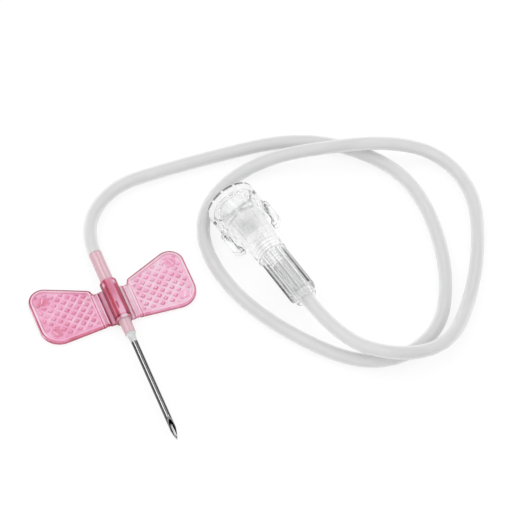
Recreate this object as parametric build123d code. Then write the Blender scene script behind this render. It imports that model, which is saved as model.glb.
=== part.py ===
from build123d import *
import os
from math import cos, radians, sin, sqrt, tan

# Winged infusion set, also called a butterfly needle: a bevelled steel needle in a pink
# hub tube, a moulded sleeve with two wings that fold up on thin hinges, a clear soft tube,
# and a clear fluted luer connector closed by a screw cap with two finger ears.
# Units are millimetres and +Z is up. The set lies on the plane z = 0, the needle points
# along -Y and the wings spread along X. The origin is under the middle of the needle
# assembly, half way between the needle's tip and the end of its pink tail.

# Needle cannula
needle_od = 1.2
needle_wall = 0.15
bond_od = 1.16              # roughened stretch that is glued into the hub tube
bond_fade = 0.8             # cone from the roughened stretch to the full diameter
needle_tip_reach = 32.4     # from the middle of the sleeve to the tip
needle_rear_reach = 0.5     # from the middle of the sleeve back to the rear end
bevel_length = 4.65
lancet_angle = 18           # slope of the two side facets to the needle's axis
lancet_turn = 45            # how far each side facet is turned about the axis

# Clear tube, and the pink hub tube of the same size
tube_od = 2.5
tube_bore = 1.5
tube_sides = 7              # flat sides of the section of the long tube
tail_reach = 11.6           # from the middle of the sleeve to the end of the pink tail
nose_reach = 7.8            # from the middle of the sleeve to the front of the hub tube
nose_root_od = 2.3
nose_end_od = 2.06
adhesive_length = 2.1
adhesive_step = 0.1         # the adhesive starts this far inside the edge of the nose
adhesive_tip_wall = 0.06

# Moulded sleeve
sleeve_length = 9.4
sleeve_wall = 0.4
sleeve_bevel = 0.25
web_blend = 0.2

# Wings and their hinges
wing_reach = 15.2           # from the needle's axis to the outer edge
wing_thickness = 0.95
outer_tail_corner = 9.6     # corner on the tail side, along Y from the middle of the sleeve
outer_tip_corner = 5.0      # corner on the needle side
tail_corner_round = 2.8
tip_corner_round = 3.8
root_tail_edge = 3.7        # edges of the wing at its hinge
root_tip_edge = 4.05
shoulder_out = 0.4          # step of the outline beside the hinge film, on the tail side
shoulder_rise = 1.0
shoulder_round = 0.6
edge_bevel = 0.25
hinge_stand_off = 0.85      # from the outside of the sleeve to the hinge axis
hinge_bead = 0.6            # thickness of the hinge film and of its round bead
hinge_gap = 0.04
film_width = 0.8            # thin film between the hinge and the wing's plate
rim_width = 0.8
panel_depth = 0.15
stud_pitch = 1.35
stud_size = 0.72
stud_height = 0.2
stud_taper = 25
stud_margin = 0.35
boss_diameter = 1.9
boss_height = 0.25
boss_edge_out = 2.7         # bosses, from the wing's outer edge
tail_boss = 5.4             # bosses, along Y from the middle of the sleeve
tip_boss = -2.2

# Luer connector, with distances along its axis from the mouth
mouth_od = 6.4
lug_od = 7.8
lug_length = 1.0
lug_width = 3.2
shoulder_od = 7.0
shoulder_at = 5.8
cone_end_od = 5.6
cone_length = 5.8
collar_od = 5.9
collar_length = 2.2
collar_bevel = 0.3
grip_od = 5.5
grip_length = 10.2
nose_ring_od = 4.4
nose_ring_length = 1.3
socket_mouth_bore = 4.3
socket_depth = 8.5
luer_taper = 0.06           # change of diameter for each millimetre of length
lumen_bore = 1.8
tube_insertion = 9.0
tube_socket_gap = 0.02
flute_count = 12
flute_width = 0.72
flute_depth = 0.42
flute_end_land = 0.35

# Screw cap, with distances along its axis from the closed end
cap_od = 9.9
cap_wall = 0.9
cap_end = 1.0
cap_length = 6.1
cap_bevel = 0.25
cap_floor_gap = 0.2         # between the connector's mouth and the cap's end
plug_length = 6.6
plug_gap = 0.03
plug_bore = 2.6
plug_bore_depth = 5.0
rim_notch_count = 12
rim_notch_width = 0.5
rim_notch_depth = 0.25
rim_notch_length = 1.1
ear_reach = 5.5             # from the cap's axis
ear_start = 4.3
ear_end = 10.7
ear_rise = 1.1
ear_hook = 0.9              # width of the inturned end of the ear
ear_hub_gap = 0.25          # between the inturned end and the connector's cone
ear_thickness = 1.3
ear_round = 1.4
ear_turn = 22               # turn of the ears about the cap's axis as it lies

# Where the connector lies: the middle of the cap's closed end, and its heading
cap_end_x = 26.9
cap_end_y = 22.3
heading = -78.4
tube_straight = 11.0        # straight stretch of tube behind the connector
tail_run = 3.7              # from the end of the pink tail to the first corner of the route
route_share = 0.45          # share of the shorter run that each arc of the route takes up

# Places worked out from the sizes
centre_y = (needle_tip_reach - tail_reach) / 2
sleeve_od = tube_od + 2 * sleeve_wall
axis_z = sleeve_od / 2
hinge_x = sleeve_od / 2 + hinge_stand_off
hinge_z = wing_thickness / 2
plate_x = hinge_x + film_width
panel_z = wing_thickness - panel_depth
collar_at = shoulder_at + cone_length
grip_at = collar_at + collar_length
nose_ring_at = grip_at + grip_length
connector_length = nose_ring_at + nose_ring_length
mouth_at = cap_end + cap_floor_gap
connector_reach = mouth_at + connector_length
connector_z = cap_od / 2
axis_x = cos(radians(heading))
axis_y = sin(radians(heading))
nose_x = cap_end_x + connector_reach * axis_x
nose_y = cap_end_y + connector_reach * axis_y
needle_place = Location((0, centre_y, axis_z), (0, 0, 90))
wing_place = Location((0, centre_y, 0))
cap_place = Location((cap_end_x, cap_end_y, connector_z), (0, 0, heading))
connector_place = cap_place * Location((mouth_at, 0, 0))

# Route of the tube from the pink tail to the connector. It loops round twice, passes over
# itself in two low humps, and rises into the connector, whose axis is above the table.
tube_route = [
    (0.0, centre_y + tail_reach, axis_z),
    (0.0, centre_y + tail_reach + tail_run, axis_z),
    (2.9, 31.9, 1.35),
    (9.5, 36.3, 1.25),
    (18.9, 36.4, 1.25),
    (30.1, 36.0, 1.25),
    (42.0, 35.1, 1.25),
    (51.2, 31.1, 1.25),
    (59.3, 22.7, 1.25),
    (62.2, 13.7, 1.25),
    (61.4, 1.8, 1.25),
    (58.4, -8.4, 1.25),
    (53.5, -16.5, 1.25),
    (45.1, -20.3, 1.25),
    (36.4, -18.1, 1.25),
    (28.2, -8.9, 1.25),
    (21.8, 2.3, 1.25),
    (19.4, 13.5, 1.25),
    (21.2, 22.9, 1.25),
    (28.2, 29.4, 1.25),
    (38.6, 31.7, 1.8),
    (48.9, 28.1, 4.5),
    (60.3, 25.3, 4.3),
    (69.2, 21.5, 1.25),
    (71.9, 10.9, 1.25),
    (67.9, -1.4, 1.25),
    (61.2, -12.7, 1.25),
    (53.4, -21.5, 2.9),
    (43.2, -21.5, 4.3),
    (nose_x + tube_straight * axis_x, nose_y + tube_straight * axis_y, connector_z),
    (nose_x, nose_y, connector_z),
]


def turned(*corners):
    """Solid turned about X from the corners (x, radius) of its section."""
    return revolve(make_face(Polyline(*corners, close=True)), axis=Axis.X)


def ring_of(piece, count):
    """Copies of a piece, evenly spaced about X."""
    return [Rot(360 * number / count, 0, 0) * piece for number in range(count)]


def cut_above(solid, origin, normal, size):
    """Solid without what lies on the outer side of a plane."""
    block = Box(size, size, size, align=(Align.CENTER, Align.CENTER, Align.MIN))
    return solid - Plane(origin=origin, z_dir=normal) * block


def needle_cannula():
    """Steel tube with its bevel facing up and two lancet facets ground at the tip."""
    radius = needle_od / 2
    bore = radius - needle_wall
    bond = bond_od / 2
    bond_end = -nose_reach - adhesive_length
    tube = turned((-needle_tip_reach, bore), (-needle_tip_reach, radius), (bond_end, radius),
                  (bond_end + bond_fade, bond), (needle_rear_reach, bond), (needle_rear_reach, bore))
    tip = (-needle_tip_reach, 0, -radius)
    block = 4 * bevel_length
    tube = cut_above(tube, tip, (-needle_od, 0, bevel_length), block)
    slope = radians(lancet_angle)
    for side in (-1, 1):
        turn = side * radians(lancet_turn)
        facet = (-sin(slope), cos(slope) * sin(turn), cos(slope) * cos(turn))
        tube = cut_above(tube, tip, facet, block)
    return needle_place * tube


def hub_tube():
    """Pink tube that holds the needle: a tail behind the sleeve and a tapered nose in front."""
    grip = bond_od / 2
    lumen = tube_bore / 2
    front = -sleeve_length / 2
    return needle_place * turned(
        (tail_reach, lumen), (tail_reach, tube_od / 2), (front, tube_od / 2), (front, nose_root_od / 2),
        (-nose_reach, nose_end_od / 2), (-nose_reach, grip), (needle_rear_reach, grip),
        (needle_rear_reach, lumen))


def needle_adhesive():
    """Hollow-sided cone of adhesive that seals the needle to the nose."""
    inner = bond_od / 2
    start = nose_end_od / 2 - adhesive_step
    end = needle_od / 2 + adhesive_tip_wall
    far = -nose_reach - adhesive_length
    middle = (-nose_reach - adhesive_length * 0.4, end + (start - end) * 0.42)
    section = Polyline((far, end), (far, inner), (-nose_reach, inner), (-nose_reach, start))
    section += ThreePointArc((-nose_reach, start), middle, (far, end))
    return needle_place * revolve(make_face(section), axis=Axis.X)


def hinge_seat():
    """Space that the bead of the right hinge and the folding film need in the sleeve's web."""
    reach = hinge_bead / 2 + hinge_gap
    length = 2 * sleeve_length
    bead = Rot(90, 0, 0) * Cylinder(reach, length)
    above = Pos(-reach, 0, 0) * Box(
        wing_reach, length, hinge_bead, align=(Align.MIN, Align.CENTER, Align.MIN))
    beyond = Box(wing_reach, length, 2 * hinge_bead, align=(Align.MIN, Align.CENTER, Align.CENTER))
    return Pos(hinge_x, 0, hinge_z) * (bead + above + beyond)


def wing_sleeve():
    """Sleeve of the wing moulding, with a web on each side that carries a hinge."""
    radius = sleeve_od / 2
    end = sleeve_length / 2
    barrel = turned((-end, 0), (-end, radius - sleeve_bevel), (sleeve_bevel - end, radius),
                    (end - sleeve_bevel, radius), (end, radius - sleeve_bevel), (end, 0))
    barrel = Pos(0, 0, axis_z) * Rot(0, 0, 90) * barrel
    span = root_tail_edge + root_tip_edge
    middle = (root_tail_edge - root_tip_edge) / 2
    web = Pos(0, middle, hinge_z) * Box(hinge_x, span, hinge_bead, align=(Align.MIN, Align.CENTER, Align.CENTER))
    web -= hinge_seat()
    moulding = barrel + web + mirror(web, about=Plane.YZ)
    web_top = hinge_z + hinge_bead / 2
    joint_x = sqrt(radius ** 2 - (axis_z - web_top) ** 2)
    corners = [edge for edge in moulding.edges().filter_by(Axis.Y)
               if abs(abs(edge.center().X) - joint_x) < 0.01 and abs(edge.center().Z - web_top) < 0.01]
    moulding = fillet(corners, web_blend)
    bore = Pos(0, 0, axis_z) * Rot(90, 0, 0) * Cylinder(tube_od / 2, 2 * sleeve_length)
    return wing_place * (moulding - bore)


def wing_outline():
    """Outline of the plate of the right wing, wider at its rounded outer end."""
    corners = [
        (plate_x, -root_tip_edge), (wing_reach, -outer_tip_corner), (wing_reach, outer_tail_corner),
        (plate_x + shoulder_out, root_tail_edge + shoulder_rise), (plate_x, root_tail_edge)]
    rounds = [0, tip_corner_round, tail_corner_round, shoulder_round, 0]
    return make_face(FilletPolyline(*corners, radius=rounds, close=True))


def stud_places(outline):
    """Diamond grid of places on the panel, clear of its rim and of the two bosses."""
    field = offset(outline, -(rim_width + stud_margin + stud_size / 2)).faces()[0]
    bosses = boss_places()
    clear = (boss_diameter + stud_size) / 2 + 0.15
    step = stud_pitch / sqrt(2)
    across = int(2 * wing_reach / step)
    places = []
    for row in range(-across, across):
        for column in range(row % 2, across, 2):
            place = Vector(plate_x + column * step, row * step, 0)
            near_boss = any((place - Vector(*boss)).length < clear for boss in bosses)
            if field.is_inside(place) and not near_boss:
                places.append(place)
    return places


def boss_places():
    """Middles of the two round bosses near the outer edge."""
    return [(wing_reach - boss_edge_out, tail_boss, 0), (wing_reach - boss_edge_out, tip_boss, 0)]


def right_wing():
    """Right wing: a rimmed plate with a studded panel, and the film and bead of its hinge."""
    outline = wing_outline()
    plate = extrude(outline, wing_thickness)
    rims = [edge for edge in plate.faces().filter_by(Axis.Z).edges() if edge.center().X > plate_x + 0.01]
    plate = chamfer(rims, edge_bevel)
    plate -= Pos(0, 0, panel_z) * extrude(offset(outline, -rim_width), panel_depth)
    stud = extrude(Rot(0, 0, 45) * Rectangle(stud_size, stud_size), stud_height, taper=stud_taper)
    studs = [Pos(place.X, place.Y, panel_z) * stud for place in stud_places(outline)]
    bosses = [Pos(x, y, panel_z) * extrude(Circle(boss_diameter / 2), boss_height, taper=stud_taper)
              for x, y, z in boss_places()]
    span = root_tail_edge + root_tip_edge
    middle = (root_tail_edge - root_tip_edge) / 2
    film = Pos(hinge_x, middle, hinge_z) * Box(
        film_width, span, hinge_bead, align=(Align.MIN, Align.CENTER, Align.CENTER))
    bead = Pos(hinge_x, middle, hinge_z) * Rot(90, 0, 0) * Cylinder(hinge_bead / 2, span)
    return wing_place * (plate + studs + bosses + film + bead)


def cone_radius(distance):
    """Outer radius of the connector's cone at a distance from its mouth."""
    share = (distance - shoulder_at) / cone_length
    return (shoulder_od + share * (cone_end_od - shoulder_od)) / 2


def socket_radius(distance):
    """Radius of the tapered luer socket at a distance from the connector's mouth."""
    return (socket_mouth_bore - luer_taper * distance) / 2


def luer_connector():
    """Clear connector: lugged mouth, tapered socket, collar, fluted grip and tube socket."""
    tube_socket = tube_od / 2 + tube_socket_gap
    stop = connector_length - tube_insertion
    collar_end = collar_at + collar_length
    body = turned(
        (0, mouth_od / 2), (shoulder_at, shoulder_od / 2), (collar_at, cone_end_od / 2),
        (collar_at, collar_od / 2), (collar_end - collar_bevel, collar_od / 2),
        (collar_end, grip_od / 2), (nose_ring_at, grip_od / 2), (nose_ring_at, nose_ring_od / 2),
        (connector_length - collar_bevel, nose_ring_od / 2),
        (connector_length, nose_ring_od / 2 - collar_bevel), (connector_length, tube_socket),
        (stop, tube_socket), (stop, lumen_bore / 2), (socket_depth, lumen_bore / 2),
        (socket_depth, socket_radius(socket_depth)), (0, socket_radius(0)))
    lug_ring = turned((0, mouth_od / 2 - 0.3), (0, lug_od / 2), (lug_length, lug_od / 2),
                      (lug_length, mouth_od / 2 - 0.3))
    lugs = lug_ring & Pos(lug_length / 2, 0, 0) * Box(lug_length, lug_width, lug_od)
    flute_length = grip_length - 2 * flute_end_land
    flute = Pos(grip_at + grip_length / 2, 0, grip_od / 2) * Box(flute_length, flute_width, 2 * flute_depth)
    return connector_place * ((body + lugs) - ring_of(flute, flute_count))


def cap_ear():
    """Finger ear: it bulges out past the skirt and turns in again beside the connector."""
    skirt_middle = (cap_od - cap_wall) / 2
    inner = cap_od / 2 - cap_wall
    hook_start = ear_end - ear_hook
    tip = cone_radius(hook_start - mouth_at) + ear_hub_gap
    corners = [
        (ear_start, skirt_middle), (ear_start + ear_rise, ear_reach), (hook_start, ear_reach),
        (ear_end, tip + ear_hook), (ear_end, tip), (hook_start, tip), (hook_start - ear_hook, inner),
        (cap_length - cap_bevel, inner)]
    rounds = [0, ear_round, ear_round, ear_round, 0, 0, 0, 0]
    outline = make_face(FilletPolyline(*corners, radius=rounds, close=True))
    return extrude(outline, ear_thickness / 2, both=True)


def luer_cap():
    """Clear screw cap: skirt over the lugs, plug in the socket, notched rim and two ears."""
    radius = cap_od / 2
    plug_end = cap_end + plug_length
    body = turned(
        (0, 0), (0, radius - cap_bevel), (cap_bevel, radius), (cap_length, radius),
        (cap_length, radius - cap_wall), (cap_end, radius - cap_wall),
        (cap_end, socket_radius(cap_end - mouth_at) - plug_gap),
        (plug_end, socket_radius(plug_end - mouth_at) - plug_gap), (plug_end, plug_bore / 2),
        (plug_end - plug_bore_depth, plug_bore / 2), (plug_end - plug_bore_depth, 0))
    notch = Pos(0, 0, radius) * Box(2 * rim_notch_length, rim_notch_width, 2 * rim_notch_depth)
    body -= ring_of(notch, rim_notch_count)
    return cap_place * Rot(ear_turn, 0, 0) * (body + ring_of(cap_ear(), 2))


def corner_radii(points):
    """Radius of the arc at each inner point of the route, from the shorter run beside it."""
    places = [Vector(*point) for point in points]
    radii = []
    for before, here, after in zip(places, places[1:], places[2:]):
        turn = (here - before).get_angle(after - here)
        run = min((here - before).length, (after - here).length)
        radii.append(route_share * run / tan(radians(turn) / 2))
    return radii


def tubing():
    """Soft tube along its route, with its straight end inside the connector.

    It is a plain rod without the bore, and its section has flat sides to keep its faces few.
    """
    radii = corner_radii(tube_route)
    path = FilletPolyline(*tube_route, radius=radii)
    start = Plane(origin=tube_route[0], z_dir=(0, 1, 0))
    section = RegularPolygon(tube_od / 2, tube_sides)
    free = sweep(start * section, path=path)
    inserted = connector_place * turned(
        (connector_length - tube_insertion, 0), (connector_length - tube_insertion, tube_od / 2),
        (connector_length, tube_od / 2), (connector_length, 0))
    ideal = section.area * path.length
    print("tube radii", [round(radius, 1) for radius in radii])
    print("tube free length", round(path.length, 1), "volume share", round(free.volume / ideal, 4))
    return free + inserted


right = right_wing()
pieces = {
    "needle_cannula": needle_cannula(),
    "needle_adhesive": needle_adhesive(),
    "hub_tube": hub_tube(),
    "wing_sleeve": wing_sleeve(),
    "right_wing": right,
    "left_wing": mirror(right, about=Plane.YZ),
    "tubing": tubing(),
    "luer_connector": luer_connector(),
    "luer_cap": luer_cap(),
}
os.makedirs("parts", exist_ok=True)
for name, piece in pieces.items():
    export_step(piece, f"parts/{name}.step")
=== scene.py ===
"""Looks of a butterfly needle: steel needle, pink wings, clear tube, luer connector and cap."""

from math import cos, pi, radians, sin, sqrt

import bpy
import numpy as np
from bpy.props import FloatProperty, FloatVectorProperty, IntProperty, PointerProperty
from bpy.types import Operator, Panel, PropertyGroup
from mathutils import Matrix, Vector


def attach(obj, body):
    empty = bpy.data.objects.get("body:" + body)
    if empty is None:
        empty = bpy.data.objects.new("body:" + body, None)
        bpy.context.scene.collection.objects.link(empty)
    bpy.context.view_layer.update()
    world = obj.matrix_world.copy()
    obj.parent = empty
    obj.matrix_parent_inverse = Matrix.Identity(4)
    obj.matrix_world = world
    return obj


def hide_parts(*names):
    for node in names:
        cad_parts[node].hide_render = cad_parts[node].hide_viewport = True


bl_info = {
    "name": "Butterfly Needle",
    "version": (1, 0, 0),
    "blender": (4, 5, 0),
    "location": "View3D > Sidebar > Butterfly Needle",
    "description": "Builds a winged infusion set around its packed frame",
    "category": "Add Mesh",
}

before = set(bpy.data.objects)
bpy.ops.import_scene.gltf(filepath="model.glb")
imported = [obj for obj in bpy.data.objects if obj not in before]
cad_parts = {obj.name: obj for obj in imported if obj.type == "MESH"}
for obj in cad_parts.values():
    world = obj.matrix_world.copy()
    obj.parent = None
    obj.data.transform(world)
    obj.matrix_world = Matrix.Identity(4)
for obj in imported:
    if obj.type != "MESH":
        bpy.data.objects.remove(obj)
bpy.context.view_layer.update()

# Corners that the solids leave sharp are rounded by this radius, in metres.
CRISP = 0.00003
# Pieces that touch in the solids are kept apart by this, in metres.
SLIP = 0.00001


def length(label, note, metres):
    """A size in metres."""
    return FloatProperty(
        name=label, description=note, default=metres, unit="LENGTH", subtype="DISTANCE", precision=5)


def millimetres(label, note, value):
    """A measure of the camera, in millimetres."""
    return FloatProperty(name=label, description=note, default=value, unit="CAMERA")


def angle(label, note, degrees):
    """An angle, given in degrees and kept in radians."""
    return FloatProperty(
        name=label, description=note, default=radians(degrees), unit="ROTATION", subtype="ANGLE")


def share(label, note, value):
    """A number from 0 to 1."""
    return FloatProperty(name=label, description=note, default=value, min=0.0, max=1.0, subtype="FACTOR")


def colour(label, note, value):
    """A colour, red, green and blue in linear light."""
    return FloatVectorProperty(
        name=label, description=note, default=value, min=0.0, max=1.0, size=3, subtype="COLOR")


def place(label, note, metres):
    """A point in the frame of the solids."""
    return FloatVectorProperty(
        name=label, description=note, default=metres, unit="LENGTH", subtype="TRANSLATION", precision=5)


class NeedleSizes(PropertyGroup):
    """Steel needle, hub tube and adhesive, measured along the needle from the sleeve's middle."""

    middle: place("Middle", "Middle of the sleeve, on the needle's axis", (0.0, 0.0104, 0.00165))
    od: length("Needle diameter", "Outside of the steel tube", 0.0012)
    bond_od: length("Glued diameter", "Outside of the stretch that is glued into the hub", 0.00116)
    wall: length("Needle wall", "Wall of the steel tube", 0.00015)
    tip: length("Tip reach", "From the sleeve's middle to the tip", 0.0324)
    rear: length("Rear reach", "From the sleeve's middle back to the needle's rear end", 0.0005)
    bevel: length("Bevel length", "Length of the main bevel", 0.00465)
    lancet_angle: angle("Lancet angle", "Slope of the two side facets", 18)
    lancet_turn: angle("Lancet turn", "Turn of each side facet about the axis", 45)
    tube_od: length("Hub tube diameter", "Outside of the pink hub tube", 0.0025)
    tube_bore: length("Hub tube bore", "Lumen of the pink tail", 0.0015)
    tail: length("Tail reach", "From the sleeve's middle to the end of the pink tail", 0.0116)
    nose: length("Nose reach", "From the sleeve's middle to the front of the hub tube", 0.0078)
    nose_root_od: length("Nose root", "Diameter of the nose where it leaves the sleeve", 0.0023)
    nose_end_od: length("Nose end", "Diameter of the nose at its front", 0.00206)
    glue: length("Adhesive length", "Length of the cone of adhesive", 0.0021)


class WingSizes(PropertyGroup):
    """Moulded sleeve and wings. Sizes along the needle are from the sleeve's middle."""

    sleeve: length("Sleeve length", "Length of the sleeve", 0.0094)
    sleeve_wall: length("Sleeve wall", "Wall of the sleeve", 0.0004)
    reach: length("Wing reach", "From the needle's axis to the outer edge", 0.0152)
    thickness: length("Wing thickness", "Thickness of the rim", 0.00095)
    tail_corner: length("Tail corner", "Outer corner on the tail side", 0.0096)
    tip_corner: length("Tip corner", "Outer corner on the needle side", 0.005)
    tail_round: length("Tail round", "Round of the outer corner on the tail side", 0.0028)
    tip_round: length("Tip round", "Round of the outer corner on the needle side", 0.0038)
    tail_edge: length("Tail edge", "Edge of the hinge on the tail side", 0.0037)
    tip_edge: length("Tip edge", "Edge of the hinge on the needle side", 0.00405)
    shoulder_out: length("Shoulder reach", "Step of the outline beside the hinge", 0.0004)
    shoulder_rise: length("Shoulder rise", "Rise of the outline beside the hinge", 0.001)
    hinge: length("Hinge place", "Hinge axis, from the needle's axis", 0.0025)
    bead: length("Hinge bead", "Thickness of the hinge film and its bead", 0.0006)
    gap: length("Hinge gap", "Gap round the bead, kept fine for the eye", 0.000012)
    film: length("Film width", "Width of the film between hinge and plate", 0.0008)
    rim: length("Rim width", "Width of the smooth rim", 0.0008)
    panel: length("Panel depth", "Depth of the studded panel below the rim", 0.00015)
    pitch: length("Stud pitch", "Spacing of the studs", 0.00135)
    stud: length("Stud size", "Side of a stud", 0.00072)
    stud_height: length("Stud height", "Height of a stud", 0.0002)
    boss: length("Boss diameter", "Diameter of the two round bosses", 0.0019)
    boss_in: length("Boss place", "Bosses, from the outer edge", 0.0027)
    boss_tail: length("Tail boss", "Boss on the tail side", 0.0054)
    boss_tip: length("Tip boss", "Boss on the needle side", 0.0022)
    rings: IntProperty(name="Wing rings", description="Rings of the wing's upper face", default=140, min=20)
    around: IntProperty(name="Wing points", description="Points round the wing", default=560, min=60)


class ConnectorSizes(PropertyGroup):
    """Luer connector and cap. Sizes along the connector are from its mouth, in the cap's frame."""

    end: place("Closed end", "Middle of the cap's closed end", (0.0269, 0.0223, 0.00495))
    heading: angle("Heading", "Direction of the connector from its cap", -78.4)
    mouth_at: length("Mouth", "From the cap's closed end to the connector's mouth", 0.0012)
    mouth_od: length("Mouth diameter", "Outside of the mouth", 0.0064)
    lug_od: length("Lug diameter", "Across the two lugs", 0.0078)
    lug_width: length("Lug width", "Width of a lug", 0.0032)
    lug: length("Lug length", "Length of a lug along the axis", 0.001)
    shoulder_od: length("Shoulder diameter", "Widest part of the hub", 0.007)
    shoulder_at: length("Shoulder place", "From the mouth to the hub's widest part", 0.0058)
    cone_end_od: length("Cone end", "Small end of the hub's cone", 0.0056)
    cone: length("Cone length", "Length of the hub's cone", 0.0058)
    collar_od: length("Collar diameter", "Outside of the collar", 0.0059)
    collar: length("Collar length", "Length of the collar", 0.0022)
    grip_od: length("Grip diameter", "Outside of the fluted grip", 0.0055)
    grip: length("Grip length", "Length of the fluted grip", 0.0102)
    ring_od: length("Nose ring diameter", "Outside of the ring at the tube's entry", 0.0044)
    ring: length("Nose ring length", "Length of the ring at the tube's entry", 0.0013)
    socket: length("Socket bore", "Bore of the luer socket at its mouth", 0.0043)
    socket_depth: length("Socket depth", "Depth of the luer socket", 0.0085)
    lumen: length("Lumen", "Bore between socket and tube", 0.0018)
    insertion: length("Tube insertion", "Length of tube inside the connector", 0.009)
    flutes: IntProperty(name="Flutes", description="Grooves round the grip", default=12, min=3)
    flute_width: length("Flute width", "Width of a groove", 0.00072)
    flute_depth: length("Flute depth", "Depth of a groove", 0.00042)
    flute_land: length("Flute land", "Plain ends of the grip", 0.00035)
    cap_od: length("Cap diameter", "Outside of the cap", 0.0099)
    cap_wall: length("Cap wall", "Wall of the skirt", 0.0009)
    cap_end: length("Cap end", "Thickness of the closed end", 0.001)
    cap: length("Cap length", "Length of the skirt", 0.0061)
    plug: length("Plug length", "Length of the plug inside the socket", 0.0066)
    plug_bore: length("Plug bore", "Bore of the plug", 0.0026)
    plug_depth: length("Plug bore depth", "Depth of the bore in the plug", 0.005)
    notches: IntProperty(name="Notches", description="Notches round the closed end", default=12, min=3)
    notch_width: length("Notch width", "Width of a notch", 0.0005)
    notch_depth: length("Notch depth", "Depth of a notch", 0.00015)
    notch: length("Notch length", "Length of a notch along the axis", 0.0011)
    ear_reach: length("Ear reach", "From the cap's axis to the outside of an ear", 0.0055)
    ear_start: length("Ear start", "Where an ear leaves the skirt", 0.0043)
    ear_end: length("Ear end", "Free end of an ear", 0.0107)
    ear_rise: length("Ear rise", "Slope at the ear's root", 0.0011)
    ear_hook: length("Ear hook", "Width of the inturned end", 0.0009)
    ear_gap: length("Ear gap", "Gap between the inturned end and the hub", 0.00025)
    ear_thickness: length("Ear thickness", "Thickness of an ear", 0.0013)
    ear_round: length("Ear round", "Round of the ear's outer corners", 0.0014)
    ear_turn: angle("Ear turn", "Turn of the ears about the cap's axis", 22)
    columns: IntProperty(name="Columns", description="Columns round the connector", default=288, min=48)


class TubeSizes(PropertyGroup):
    """Soft clear tube."""

    od: length("Tube diameter", "Outside of the tube", 0.0025)
    bore: length("Tube bore", "Bore of the tube", 0.0015)
    length: length("Tube length", "Free length from the pink tail to the connector", 0.3075)


class Finishes(PropertyGroup):
    """Colours of the moulded, drawn and extruded materials."""

    pale_pink: colour("Pale pink", "Thin moulding that catches the light", (1.0, 0.88, 0.93))
    pink: colour("Wing pink", "Thin translucent moulding", (1.0, 0.53, 0.74))
    deep_pink: colour("Deep pink", "Moulding in depth", (0.66, 0.10, 0.175))
    dark_pink: colour("Dark pink", "Darkest lines of the moulding", (0.12, 0.03, 0.05))
    tube_pink: colour("Tail pink", "Tinted hub tube", (0.90, 0.64, 0.70))
    tube_pink_deep: colour("Tail edge", "Tinted hub tube seen edge on", (0.62, 0.33, 0.40))
    vinyl: colour("Clear vinyl", "Soft clear tube", (0.83, 0.83, 0.83))
    # Painted shade a little inside the tube's edge and painted highlight at the edge itself.
    vinyl_deep: colour("Vinyl shade", "Greyest part of the clear tube", (0.745, 0.745, 0.745))
    vinyl_edge: colour("Vinyl edge", "Soft clear tube seen edge on", (0.92, 0.92, 0.92))
    clear: colour("Clear plastic", "Clear moulded plastic", (0.965, 0.968, 0.968))
    # Painted shade: the grey of clear plastic seen edge on.
    clear_edge: colour("Clear plastic edge", "Clear moulded plastic seen edge on", (0.035, 0.036, 0.038))
    steel: colour("Steel", "Drawn stainless steel", (0.88, 0.88, 0.89))
    # Painted reflection: the dark of the steel seen edge on.
    steel_edge: colour("Steel edge", "Drawn stainless steel seen edge on", (0.13, 0.13, 0.135))
    glue: colour("Adhesive", "Milky adhesive", (0.98, 0.985, 0.985))


class StageSettings(PropertyGroup):
    """Floor, lamps and the camera at the photograph's viewing angle."""

    floor_size: length("Floor size", "Side of the square floor", 6.0)
    floor_drop: length("Floor drop", "Floor below the lowest point of the set", 0.00002)
    floor_glow: share("Floor glow", "Part of the floor's white that takes no shadow", 0.78)
    world: share("World light", "Even light from all round", 1.0)
    target: place("Camera target", "Point on the table in the middle of the view", (0.02828, 0.01203, 0.0))
    azimuth: angle("Azimuth", "Turn of the view from +Y towards -X", -21.04)
    elevation: angle("Elevation", "Height of the camera above the horizon", 53.5)
    distance: length("Distance", "From the camera to its target", 0.7)
    focal: millimetres("Focal length", "Lens of the camera", 263.3)
    sensor: millimetres("Sensor", "Width of the camera's sensor", 36.0)


class ButterflySettings(PropertyGroup):
    """Everything that the panel shows."""

    needle: PointerProperty(type=NeedleSizes)
    wings: PointerProperty(type=WingSizes)
    connector: PointerProperty(type=ConnectorSizes)
    tube: PointerProperty(type=TubeSizes)
    finishes: PointerProperty(type=Finishes)
    stage: PointerProperty(type=StageSettings)


# Route of the tube in metres, from the pink tail to the connector. Its last two points are
# worked out from the connector's place.
TUBE_ROUTE = (
    (0.0, 0.022, 0.00165),
    (0.0, 0.0257, 0.00165),
    (0.0029, 0.0319, 0.00135),
    (0.0095, 0.0363, 0.00125),
    (0.0189, 0.0364, 0.00125),
    (0.0301, 0.036, 0.00125),
    (0.042, 0.0351, 0.00125),
    (0.0512, 0.0311, 0.00125),
    (0.0593, 0.0227, 0.00125),
    (0.0622, 0.0137, 0.00125),
    (0.0614, 0.0018, 0.00125),
    (0.0584, -0.0084, 0.00125),
    (0.0535, -0.0165, 0.00125),
    (0.0451, -0.0203, 0.00125),
    (0.0364, -0.0181, 0.00125),
    (0.0282, -0.0089, 0.00125),
    (0.0218, 0.0023, 0.00125),
    (0.0194, 0.0135, 0.00125),
    (0.0212, 0.0229, 0.00125),
    (0.0282, 0.0294, 0.00125),
    (0.0386, 0.0317, 0.0018),
    (0.0489, 0.0281, 0.0045),
    (0.0603, 0.0253, 0.0043),
    (0.0692, 0.0215, 0.00125),
    (0.0719, 0.0109, 0.00125),
    (0.0679, -0.0014, 0.00125),
    (0.0612, -0.0127, 0.00125),
    (0.0534, -0.0215, 0.0029),
    (0.0432, -0.0215, 0.0043),
)
TUBE_STRAIGHT = 0.011

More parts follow.
